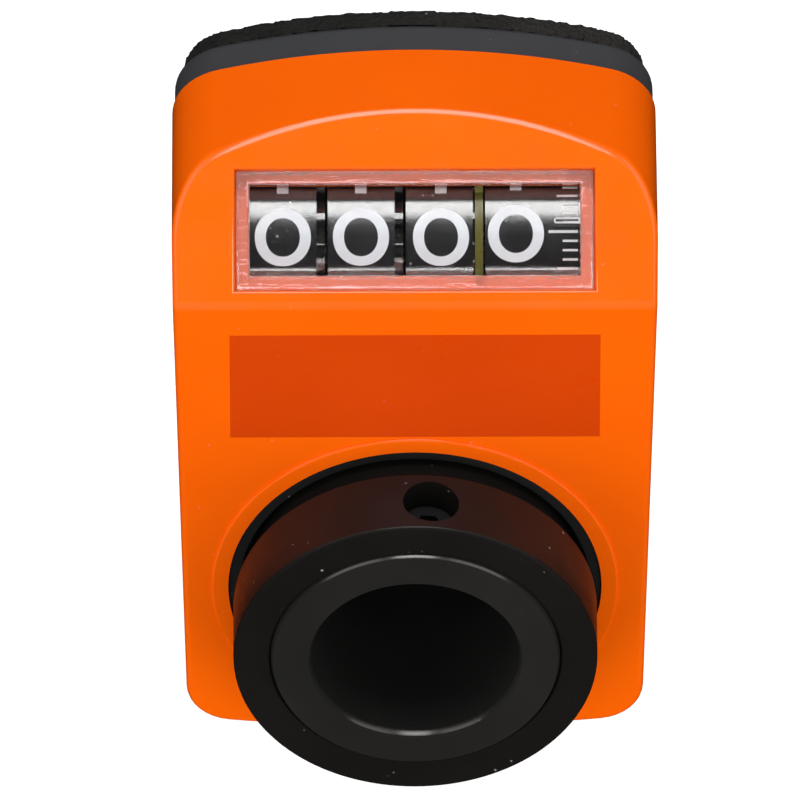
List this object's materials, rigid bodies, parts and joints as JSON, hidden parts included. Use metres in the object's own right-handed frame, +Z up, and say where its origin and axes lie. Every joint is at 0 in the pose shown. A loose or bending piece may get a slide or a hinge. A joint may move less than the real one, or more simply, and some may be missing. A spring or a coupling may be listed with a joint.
{
  "type": "digital position indicator",
  "caption": "Orange position indicator with a hollow shaft hub, a sloping window over a row of number wheels, a black base plate and a foam rear seal.",
  "frame": {"origin": "on the shaft axis, in the rear face of the base plate", "axes": "+Y along the shaft axis toward the machine, +Z up toward the window, +X to the right of a reader in front"},
  "size_m": [0.0464, 0.0455, 0.0687],
  "materials": {
    "housing_orange": "glossy moulded polyamide",
    "base_black": "satin charcoal moulding",
    "foam_black": "open cell foam",
    "lens_clear": "clear acrylic",
    "mark_white": "printed ink",
    "marker_yellow": "coloured moulding",
    "label_orange": "blank printed panel",
    "seal_rubber": "moulded lip seal",
    "bearing_plastic": "acetal",
    "hub_black": "satin moulding",
    "bush_steel": "blackened turned steel",
    "screw_black": "black oxide",
    "spring_steel": "spring steel",
    "gear_plastic": "acetal",
    "frame_plastic": "glass filled plastic",
    "axle_steel": "ground steel",
    "wheel_black": "polished moulding with white figures",
    "carry_plastic": "acetal",
    "screw_steel": "zinc plated"
  },
  "bodies": {
    "case": {"housing": "housing_orange", "base_plate": "base_black", "foam_seal": "foam_black", "window_lens": "lens_clear", "index_mark": "mark_white", "decimal_marker": "marker_yellow", "name_label": "label_orange", "front_seal": "seal_rubber", "front_bearing": "bearing_plastic", "rear_bearing": "bearing_plastic", "frame_left": "frame_plastic", "frame_middle": "frame_plastic", "frame_right": "frame_plastic", "wheel_axle": "axle_steel", "axle_spacer": "bearing_plastic", "transfer_axle": "axle_steel", "pinion_pin": "axle_steel", "idler_pin": "axle_steel", "base_screws": "screw_steel"},
    "hub": {"hub_collar": "hub_black", "shaft_bush": "bush_steel", "set_screw": "screw_black", "retaining_ring": "spring_steel", "crown_gear": "gear_plastic"},
    "pinion": {"drive_pinion": "gear_plastic"},
    "idler": {"idler_gear": "gear_plastic"},
    "units": {"wheel_units": "wheel_black", "units_gear": "gear_plastic"},
    "tens": {"wheel_tens": "wheel_black"},
    "hundreds": {"wheel_hundreds": "wheel_black"},
    "thousands": {"wheel_thousands": "wheel_black"},
    "carry_tens": {"carry_pinion_tens": "carry_plastic"},
    "carry_hundreds": {"carry_pinion_hundreds": "carry_plastic"},
    "carry_thousands": {"carry_pinion_thousands": "carry_plastic"}
  },
  "joints": [
    {"name": "hub_spin", "type": "hinge", "parent": "case", "child": "hub", "pos_m": [0, 0, 0], "axis": [0, 1, 0], "continuous": true},
    {"name": "pinion_spin", "type": "hinge", "parent": "case", "child": "pinion", "pos_m": [0.0173, -0.01286, 0], "axis": [1, 0, 0], "continuous": true},
    {"name": "idler_spin", "type": "hinge", "parent": "case", "child": "idler", "pos_m": [0.0178, -0.01286, 0.01375], "axis": [1, 0, 0], "continuous": true},
    {"name": "units_spin", "type": "hinge", "parent": "case", "child": "units", "pos_m": [0.011, -0.01286, 0.03125], "axis": [1, 0, 0], "continuous": true},
    {"name": "tens_spin", "type": "hinge", "parent": "case", "child": "tens", "pos_m": [0.0024, -0.01286, 0.03125], "axis": [1, 0, 0], "continuous": true},
    {"name": "hundreds_spin", "type": "hinge", "parent": "case", "child": "hundreds", "pos_m": [-0.00485, -0.01286, 0.03125], "axis": [1, 0, 0], "continuous": true},
    {"name": "thousands_spin", "type": "hinge", "parent": "case", "child": "thousands", "pos_m": [-0.0121, -0.01286, 0.03125], "axis": [1, 0, 0], "continuous": true},
    {"name": "carry_tens_spin", "type": "hinge", "parent": "case", "child": "carry_tens", "pos_m": [0.0059, -0.00995, 0.01756], "axis": [1, 0, 0], "continuous": true},
    {"name": "carry_hundreds_spin", "type": "hinge", "parent": "case", "child": "carry_hundreds", "pos_m": [-0.0013, -0.00995, 0.01756], "axis": [1, 0, 0], "continuous": true},
    {"name": "carry_thousands_spin", "type": "hinge", "parent": "case", "child": "carry_thousands", "pos_m": [-0.0086, -0.00995, 0.01756], "axis": [1, 0, 0], "continuous": true}
  ],
  "couplings": [
    {"joint": "pinion_spin", "follows": "hub_spin", "ratio": 4},
    {"joint": "idler_spin", "follows": "hub_spin", "ratio": -1.5},
    {"joint": "units_spin", "follows": "hub_spin", "ratio": 2},
    {"joint": "tens_spin", "follows": "hub_spin", "ratio": 0.2},
    {"joint": "hundreds_spin", "follows": "hub_spin", "ratio": 0.02},
    {"joint": "thousands_spin", "follows": "hub_spin", "ratio": 0.002},
    {"joint": "carry_tens_spin", "follows": "hub_spin", "ratio": -0.5},
    {"joint": "carry_hundreds_spin", "follows": "hub_spin", "ratio": -0.05},
    {"joint": "carry_thousands_spin", "follows": "hub_spin", "ratio": -0.005}
  ]
}
